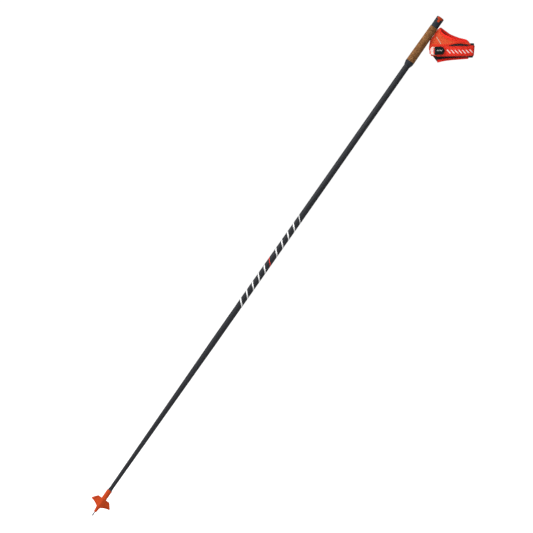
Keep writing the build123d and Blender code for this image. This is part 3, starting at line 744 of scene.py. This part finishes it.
def thread_faces(points, faces, uvs, a, b, up, radius):
    """One stitch: a small closed spindle between two holes, arched off the cloth."""
    along = (b - a) / max(np.linalg.norm(b - a), 1e-9)
    aside = np.cross(along, up)
    first = len(points)
    for place, full in STITCH_RINGS:
        centre = a + (b - a) * place + up * radius * (0.9 * math.sin(math.pi * place) - 0.25)
        for angle in np.linspace(0, 2 * math.pi, STITCH_SIDES, endpoint=False):
            points.append(centre + (aside * math.cos(angle) + up * math.sin(angle)) * radius * full)
            uvs.append((place * 2, angle * 0.3))
    for face in tube_faces(len(STITCH_RINGS), STITCH_SIDES):
        faces.append(tuple(first + index for index in face))


def row_on(line, side, depth, wander=0.0, inside=False):
    """A row of threads through (S, T) points: its points, and the way that the threads stand out."""
    place = np.array([on_side(s, t, side, depth, wander) for s, t in line])
    above = np.array([on_side(s, t, side, depth - 1.0, wander) for s, t in line])
    out = (place - above) if inside else (above - place)
    return place, out / np.linalg.norm(out, axis=1)[:, None]


def seam(points, side, towards, inset, depth, inside=False):
    """A stitched row inside an edge of (S, T) points."""
    line, inward = edge_line(points, towards, 120)
    return row_on(line + inward * inset, side, depth, 1.0, inside)


def strip_seam(stations, aside, height, start=0, end=None):
    """A stitched row along a strap, at a distance from its middle line."""
    chosen = stations[start:end]
    place = np.array([centre + (across * aside + out * height) * MM for centre, across, out, _ in chosen])
    return place, np.array([out for _, _, out, _ in chosen])


# -------------------------------- rigid pieces: finishes on the CAD shapes
# The finish of each rigid node, and the radius in millimetres that its sharp edges are rounded to.
RIGID = {
    "shaft": ("carbon", 0),
    "grip_core": ("grip_plastic", 0.35),
    "grip_collar": ("grip_plastic", 0.4),
    "cork_sleeve": ("cork", 0.2),
    "basket_seal": ("seal_rubber", 0.25),
    "tip_shank": ("steel", 0),
    "carbide_tip": ("hard_metal", 0),
    "strap_wedge": ("wedge_plastic", 0.45),
    "band_ring": ("ring_plastic", 0.5),
    "loop_patch": ("loop_black", 0),
    "hook_patch": ("loop_black", 0),
    "pull_tab": ("tab_rubber", 0.6),
}
WELD_GAP = 0.02


def weld_points(obj):
    obj.modifiers.new("weld", "WELD").merge_threshold = WELD_GAP * MM


def round_edges(obj, radius, segments, angle):
    """Round every edge of a piece that is sharper than an angle in degrees."""
    bevel = obj.modifiers.new("edges", "BEVEL")
    bevel.width = radius * MM
    bevel.segments = segments
    bevel.limit_method = "ANGLE"
    bevel.angle_limit = math.radians(angle)


def dress_rigid():
    for node, (material, radius) in RIGID.items():
        obj = nodes[node]
        paint(obj, material)
        shade_smooth(obj.data)
        weld_points(obj)
        if radius:
            round_edges(obj, radius, 3, 32)
        obj.modifiers.new("normals", "WEIGHTED_NORMAL").keep_sharp = True


def apply_modifiers(obj):
    graph = bpy.context.evaluated_depsgraph_get()
    done = bpy.data.meshes.new_from_object(obj.evaluated_get(graph))
    obj.modifiers.clear()
    obj.data = done


BASKET_VOXEL = 0.36


def make_basket():
    """The basket as a soft moulding: the CAD shape remeshed and relaxed, so that every edge has a radius."""
    obj = add_object("basket_moulding", nodes["basket"].data.copy())
    weld_points(obj)
    remesh = obj.modifiers.new("remesh", "REMESH")
    remesh.mode = "VOXEL"
    remesh.voxel_size = BASKET_VOXEL * MM
    relax = obj.modifiers.new("relax", "SMOOTH")
    relax.factor = 0.5
    relax.iterations = 4
    apply_modifiers(obj)
    shade_smooth(obj.data)
    paint(obj, "basket_plastic")
    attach(obj, "pole")
    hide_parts("basket")


dress_rigid()
make_basket()


# -------------------------------- straps and webbing
STRIP_FLAT = 7


def strip(name, stations, thick, outer_material, other_material=None, crown=0.0):
    """Flat strap along stations of (centre, across, out, half width). Its UVs are in millimetres.

    The other material goes on all faces but the outer ones. A crown swells the middle of both faces.
    """
    section = [(u, 0.5 + crown * (1 - u * u)) for u in np.linspace(-1, 1, STRIP_FLAT)]
    section += [(1.0, 0.0)] + [(u, -v) for u, v in section[::-1]] + [(-1.0, 0.0)]
    points, uvs = [], []
    length = 0.0
    for k, (centre, across, out, half) in enumerate(stations):
        if k:
            length += np.linalg.norm(centre - stations[k - 1][0]) / MM
        shoulder = max(half - thick * 0.42, half * 0.3)
        for u, v in section:
            aside = half * u if v == 0 else shoulder * u
            points.append(centre + (across * aside + out * thick * v) * MM)
            uvs.append((length, aside))
    ring = len(section)
    obj = new_mesh(name, points, tube_faces(len(stations), ring), uvs, outer_material)
    if other_material:
        obj.data.materials.append(materials[other_material])
        caps_from = ring * (len(stations) - 1)
        for polygon in obj.data.polygons:
            outer = polygon.index % ring < STRIP_FLAT - 1 and polygon.index < caps_from
            polygon.material_index = 0 if outer else 1
    outward(obj)
    round_edges(obj, thick * 0.22, 2, 28)
    apply_modifiers(obj)
    shade_smooth(obj.data)
    return obj


def stations_on(path, halves, across):
    """Stations from a path of points whose across direction is fixed."""
    path = np.array(path)
    made = []
    for point, direction, half in zip(path, directions(path), halves):
        made.append((point, across, unit(np.cross(direction, across)), half))
    return made


def web_stations():
    """Clamped tail, turn and free length of the web, through (X, Z) points. It widens towards the fans."""
    profile = [(-4.3, 1535.6), (-4.3, 1529.0), (-4.2, 1524.2), (-3.2, 1522.1), (-0.8, 1521.6), (5.0, 1521.6)]
    profile += [(10.0, 1521.6), (14.0, 1521.1), (20.0, 1520.0), (27.4, 1518.6)]
    line = curve(profile, 60)
    path = np.array([(x, 0, z) for x, z in line]) * MM
    halves = [3.5 + 2.3 * float(ease(x, 11.0, 27.0)) for x, _ in line]
    return stations_on(path, halves, Y_DIR)


# Half widths and thickness of the webbing at the ring, and the height of the band's free end over the band.
TONGUE_HALF, KEEPER_HALF, END_THICK, END_HEIGHT = 7.6, 7.5, 1.2, 2.55

# The band starts as narrow as the ring's slot, and widens to its full width just past the ring.
BAND_START, BAND_END = -14.6, -5.0
BAND_WIDENS, BAND_WIDENING = -12.6, 3.0

# The top edge sags along the near side. Both edges rise at the right end.
TOP_TIGHT, TOP_SLACK, BOTTOM_RISE = 1.3, -0.7, 1.7
SLACK_FROM, RISE_FROM = (2.0, 28.0), (64.0, 80.0)
TURN_S, TURN_REACH, TURN_NARROWS = 82.0, 6.0, 0.3

# At its right end the strap leans back below LEAN_LEVEL, by END_LEAN for every millimetre down.
END_LEAN, LEAN_LEVEL = 0.09, -50.0
LEAN_FROM = (62.0, 82.0)


def leaning_station(run, middle, depth, half):
    """A station of a strap on the loop, which leans back where it rounds the right end."""
    centre, above = on_loop(run, middle, depth), on_loop(run, middle, depth - 0.5)
    lean = END_LEAN * float(ease(s_at(run), *LEAN_FROM))
    place = centre + S_DIR * lean * (middle - LEAN_LEVEL) * MM
    return place, T_DIR + S_DIR * lean, unit(above - centre), half


def band_stations():
    """The wrist band from the ring along the near side, round the right end and back along the far side."""
    turn = run_at(TURN_S, NEAR)
    made = []
    for run in np.linspace(run_at(BAND_START, NEAR), run_at(BAND_END, FAR), 150):
        s = s_at(run)
        lift = float(ease(s, *RISE_FROM))
        sag = float(ease(s, *SLACK_FROM)) - lift if run < LOOP_RUN[TURN] else 0.0
        top = BAND_TOP + TOP_TIGHT * (1 - sag) + TOP_SLACK * sag
        bottom = BAND_BOTTOM + BOTTOM_RISE * lift
        turned = float(ease(run, turn - TURN_REACH, turn + TURN_REACH))
        half = (top - bottom) / 2 - TURN_NARROWS * turned
        widened = max(0.0, (run - run_at(BAND_WIDENS, NEAR)) * BAND_WIDENING)
        half = min(half, (TONGUE_UPPER - TONGUE_LOWER) / 2 + widened)
        made.append(leaning_station(run, (top + bottom) / 2, BAND_THICK / 2, half))
    return made


def keeper_stations():
    """The webbing that holds the ring, wrapped round the rear edge of both fans."""
    plan = [(s, cuff_half(s) - 0.6) for s in np.linspace(-8.0, -26.4, 15)]
    plan += [(-27.7, 0.7), (-28.1, 0.0), (-27.7, -0.7)]
    plan += [(s, -cuff_half(s) + 0.6) for s in np.linspace(-26.4, -19.4, 7)]
    path = [in_frame(s, TONGUE_MIDDLE, y) for s, y in curve(plan, 60)]
    return stations_on(path, [KEEPER_HALF] * len(path), -T_DIR)


def fold_stations():
    """The band's turn round the bar of the ring."""
    centre_s, low, high = -16.2, -0.7, END_HEIGHT
    radius = (high - low) / 2
    plan = [(-14.4, low), (-15.4, low)]
    for angle in np.linspace(-math.pi / 2, -math.pi * 1.5, 14):
        plan.append((centre_s + radius * math.cos(angle), (high + low) / 2 + radius * math.sin(angle)))
    path = [in_frame(s, TONGUE_MIDDLE, -(cuff_half(s) + height)) for s, height in plan]
    return stations_on(path, [TONGUE_HALF] * len(path), T_DIR)


def end_stations():
    """The band's free end over its hook patch."""
    path = [on_side(s, TONGUE_MIDDLE, NEAR, -END_HEIGHT) for s in np.linspace(-16.6, 6.0, 30)]
    return stations_on(path, [TONGUE_HALF] * len(path), T_DIR)


def moving(obj, body, slot, *replaced):
    """Let a piece ride rigidly on a body."""
    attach(obj, body)
    if replaced:
        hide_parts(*replaced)


def bending(obj, slot, *replaced):
    """Bake a piece's placement into its mesh, and hide the parts that it replaces."""
    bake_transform(obj)
    if replaced:
        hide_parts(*replaced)
    return obj


web = strip("webbing", web_stations(), 1.6, "web_red")
bending(web, "web_red", "web_tail", "strap_web")
band = strip("wrist_band_strap", band_stations(), BAND_THICK, "band_red", "plain_red")
moving(band, "hand_strap", "band_red", "wrist_band")
keeper = strip("ring_keeper_web", keeper_stations(), END_THICK, "web_red")
moving(keeper, "hand_strap", "web_red", "ring_keeper")
fold = strip("band_turn", fold_stations(), END_THICK, "plain_red")
moving(fold, "hand_strap", "band_red", "band_fold")
band_end = strip("band_end_strap", end_stations(), END_THICK, "plain_red")
moving(band_end, "closure", "band_red", "band_end")


# -------------------------------- the two fans
NEAR_REAR = [(-1.5, -0.5), (-5.4, -3.1)] + REAR_EDGE + [(-26.5, -66.0), (-25.4, -72.4)]
NEAR_FRONT = [(65.5, -36.6), (71.5, -39.4), (75.4, -42.0), (76.0, -45.2)]
SLIT_RIGHT = [(34.0, -42.8), (48.0, -41.6), (62.0, -42.4)]
NEAR_LOWER = [(-25.4, -72.4), (-8.0, -72.4), (6.0, -66.0), (13.0, -54.0), (20.0, -46.2)]
NEAR_LOWER += SLIT_RIGHT + [(76.0, -45.2)]
NEAR_LINING_LOWER = [(-25.4, -72.4), (10.0, -73.4), (45.0, -73.4), (76.0, -73.4)]
NEAR_LINING_FRONT = [(65.5, -36.6), (75.4, -42.2), (76.0, -58.0), (76.0, -73.4)]
FAR_REAR = [(0.0, 0.8), (-5.0, -2.6)] + REAR_EDGE + [(-25.6, -66.0), (-19.8, -73.6), (-8.4, -87.5)]
FAR_FRONT = [(66.0, -29.6), (70.0, -32.8), (73.9, -37.2), (76.0, -45.0), (74.9, -60.0), (71.4, -77.8)]
HEM_OVERLAP = 1.4
FAR_LOWER = [(s, t + HEM_OVERLAP) for s, t in FAR_HEM]

near_grid = patch(NEAR_EDGE, NEAR_LOWER, NEAR_REAR, NEAR_FRONT, 84, 48)
near_lining_grid = patch(NEAR_EDGE, NEAR_LINING_LOWER, NEAR_REAR, NEAR_LINING_FRONT, 84, 56)
far_grid = patch(FAR_EDGE, FAR_LOWER, FAR_REAR, FAR_FRONT, 84, 66)

PANEL = (BAND_THICK, PANEL_THICK, "mesh_red")
LINING = (LINING_DEPTH, LINING_THICK, "lining_black")
near_panel = closed_sheet("near_fan", near_grid, NEAR, *PANEL)
near_lining = closed_sheet("near_fan_lining", near_lining_grid, NEAR, *LINING)
far_panel = closed_sheet("far_fan", far_grid, FAR, *PANEL)
far_lining = closed_sheet("far_fan_lining", far_grid, FAR, *LINING)

bending(near_panel, "mesh_red", "near_panel")
bending(near_lining, "lining_black", "near_lining")
bending(far_panel, "mesh_red", "far_panel")
bending(far_lining, "lining_black", "far_lining")

# Binding folded over the edges: its thickness, the depth of its middle, and its widths along each edge.
TAPE_THICK, TAPE_DEPTH = 2.9, 2.4
FAR_TAPE_LINE = FAR_EDGE + FAR_FRONT[1:3]
FAR_TAPE_WIDTHS = [4.6, 7.2, 8.6, 8.2, 7.0, 5.6]
HEM_WIDTHS = [7.4, 6.6, 6.0, 5.4, 4.8]


def binding(name, line, side, towards, widths):
    return edge_tape(name, line, side, towards, widths, TAPE_THICK, TAPE_DEPTH, "binding_red")


near_tape = binding("near_top_tape", NEAR_EDGE, NEAR, -1, [4.2, 4.2])
far_tape = binding("far_top_tape", FAR_TAPE_LINE, FAR, -1, FAR_TAPE_WIDTHS)
hem_tape = binding("far_lower_tape", FAR_HEM, FAR, 1, HEM_WIDTHS)
bending(near_tape, "binding_red", "near_top_binding")
bending(far_tape, "binding_red", "far_top_binding")
bending(hem_tape, "binding_red", "lower_binding")

# Solid fabric sewn over the mesh: line, side, way into the cloth, widths, and inset from the line.
SLIT_EDGE = [(-27.6, -47.4), (-10.0, -47.8), (8.0, -47.6), (20.0, -45.8)] + SLIT_RIGHT + [(75.6, -45.0)]
REAR_WIDTHS = [3.6, 4.8, 5.0]
TRIM_THICK, TRIM_DEPTH = 1.0, BAND_THICK + 0.2
TRIMS = [
    ("near_top_trim", NEAR_EDGE[1:], NEAR, -1, [3.0, 5.6, 5.0, 3.4], 3.7),
    ("near_rear_trim", REAR_EDGE, NEAR, -1, REAR_WIDTHS, 0.5),
    ("near_slit_trim", SLIT_EDGE, NEAR, 1, [5.6, 5.0, 4.2, 3.4, 2.6], 0.0),
    ("far_top_trim", FAR_EDGE[1:], FAR, -1, [3.0, 5.6, 5.0, 4.0], 4.4),
    ("far_rear_trim", REAR_EDGE, FAR, -1, REAR_WIDTHS, 0.5),
]
trims = {NEAR: [], FAR: []}
for name, line, side, towards, widths, inset in TRIMS:
    trim = edge_tape(name, line, side, towards, widths, TRIM_THICK, TRIM_DEPTH, "trim_red", inset)
    trims[side].append(bending(trim, "mesh_red"))

PIPING_LINE = [(-10.4, -23.3), (-5.0, -31.9), (0.9, -41.5)]
piping = edge_tape("reflective_line", PIPING_LINE, NEAR, -1, [2.0, 2.0], 1.0, 1.2, "piping_white")
bending(piping, "piping_white", "reflective_piping")


# The rolled rear edge: points round it, how far it rolls in, and how far it stands proud of the fans.
ROLL_SIDES, ROLL_IN, ROLL_PROUD = 18, 1.7, 0.25


def rear_fold():
    """The rolled edge that joins the two fans at the rear, as wide as the gap between them."""
    line = curve(REAR_EDGE + [(-25.6, -66.0), (-24.4, -71.8)], 80)[4:]
    along = directions(line)
    inward = np.stack([-along[:, 1], along[:, 0]], 1)
    points, uvs = [], []
    for k, (s, t) in enumerate(line):
        near, far = (on_side(s + 1.2, t, side, BAND_THICK, 1.0)[1] / MM for side in (NEAR, FAR))
        middle, half = (near + far) / 2, (far - near) / 2 + ROLL_PROUD
        for index in range(ROLL_SIDES):
            angle = 2 * math.pi * index / ROLL_SIDES
            c, v = math.cos(angle), math.sin(angle)
            place_s, place_t = (s, t) + inward[k] * ROLL_IN * (1 - np.sign(c) * abs(c) ** 0.8)
            points.append(in_frame(place_s, place_t, middle + half * np.sign(v) * abs(v) ** 0.8))
            uvs.append((k * 1.1, index * 0.9))
    obj = new_mesh("rear_fold", points, tube_faces(len(line), ROLL_SIDES), uvs, "mesh_red")
    outward(obj)
    return obj


fold_edge = bending(rear_fold(), "mesh_red")

# Depths of the threads on a tape's outer and inner face, on a trim and on the mesh.
ON_TAPE, UNDER_TAPE = TAPE_DEPTH - TAPE_THICK / 2, TAPE_DEPTH + TAPE_THICK / 2
ON_TRIM, ON_MESH = 1.2, BAND_THICK
fan_seams = [
    seam(NEAR_EDGE, NEAR, -1, 3.3, ON_TAPE),
    seam(NEAR_EDGE[2:6], NEAR, -1, 7.2, ON_TRIM),
    seam(NEAR_EDGE[2:5], NEAR, -1, 9.6, ON_MESH),
    seam(REAR_EDGE[1:5], NEAR, -1, 4.6, ON_MESH),
    seam(REAR_EDGE[1:5], NEAR, -1, 7.0, ON_MESH),
    seam(FAR_EDGE, FAR, -1, 4.3, ON_TAPE),
    seam(FAR_EDGE, FAR, -1, 4.3, UNDER_TAPE, inside=True),
    seam(FAR_EDGE[2:], FAR, -1, 8.4, ON_MESH),
    seam(REAR_EDGE[1:5], FAR, -1, 4.6, ON_MESH),
    seam(REAR_EDGE[1:5], FAR, -1, 7.0, ON_MESH),
    seam(FAR_HEM, FAR, 1, 3.6, ON_TAPE),
    seam(FAR_HEM, FAR, 1, 3.6, UNDER_TAPE, inside=True),
]
fan_stitching = bending(stitches("fan_stitching", fan_seams, "thread_red"), "binding_red")


band_rows = [strip_seam(band_stations(), aside, 0.7, 8) for aside in (-12.0, 12.0)]
band_rows += [strip_seam(keeper_stations(), aside, 0.6, 2, -2) for aside in (-6.2, 6.2)]
moving(stitches("band_stitching", band_rows, "thread_dark"), "hand_strap", "band_red")
end_rows = [strip_seam(end_stations(), aside, 0.6, 2, -2) for aside in (-6.4, 6.4)]
moving(stitches("band_end_stitching", end_rows, "thread_dark"), "closure", "band_red")


# -------------------------------- the rubber tab's sewn line and grip ribs
TAB_HEIGHT = 4.8
SEWN_S, SEWN_TOP, SEWN_BOTTOM = -13.9, -51.2, -68.2
RIBS_S = (-8.0, -4.4, -0.8, 2.8)
RIB_TOP, RIB_BOTTOM, RIB_SLANT = -56.4, -63.0, 0.35

sewn = row_on([(SEWN_S, t) for t in np.linspace(SEWN_TOP, SEWN_BOTTOM, 30)], NEAR, -TAB_HEIGHT)
moving(stitches("tab_sewn_line", [sewn], "thread_pale", 1.7, 0.3), "closure", "tab_rubber")
ribs = []
for rib_s in RIBS_S:
    line = [(rib_s + RIB_SLANT * (t - TONGUE_MIDDLE), t) for t in np.linspace(RIB_TOP, RIB_BOTTOM, 8)]
    ribs.append(row_on(line, NEAR, -TAB_HEIGHT))
moving(stitches("tab_ribs", ribs, "pale_rubber", 6.0, 0.75), "closure", "tab_rubber")


# -------------------------------- padding inside the band's right end
PAD_MIDDLE, PAD_THICK, PAD_ENDS = -58.2, 2.4, 45.0
# It is widest in the band's right end, where it also lies closer under the band.
PAD_HALF, PAD_WIDENS, PAD_SWELLS = 12.0, 3.6, 2.6
PAD_DEPTH, PAD_RISES = 5.0, 2.0


def pad_stations():
    """From the near side of the loop round the right end to the far side."""
    start, end = run_at(PAD_ENDS, NEAR), run_at(PAD_ENDS, FAR)
    made = []
    for run in np.linspace(start, end, 70):
        s = s_at(run)
        depth = PAD_DEPTH - PAD_RISES * float(ease(s, 74.0, 80.0))
        widened = PAD_WIDENS * float(ease(min(run - start, end - run), -3.0, 9.0))
        half = PAD_HALF + widened + PAD_SWELLS * float(ease(s, 66.0, 74.0))
        made.append(leaning_station(run, PAD_MIDDLE, depth, half))
    return made


pad = strip("cuff_padding", pad_stations(), PAD_THICK, "lining_black", crown=0.14)
moving(pad, "hand_strap", "lining_black", "cuff_pad")
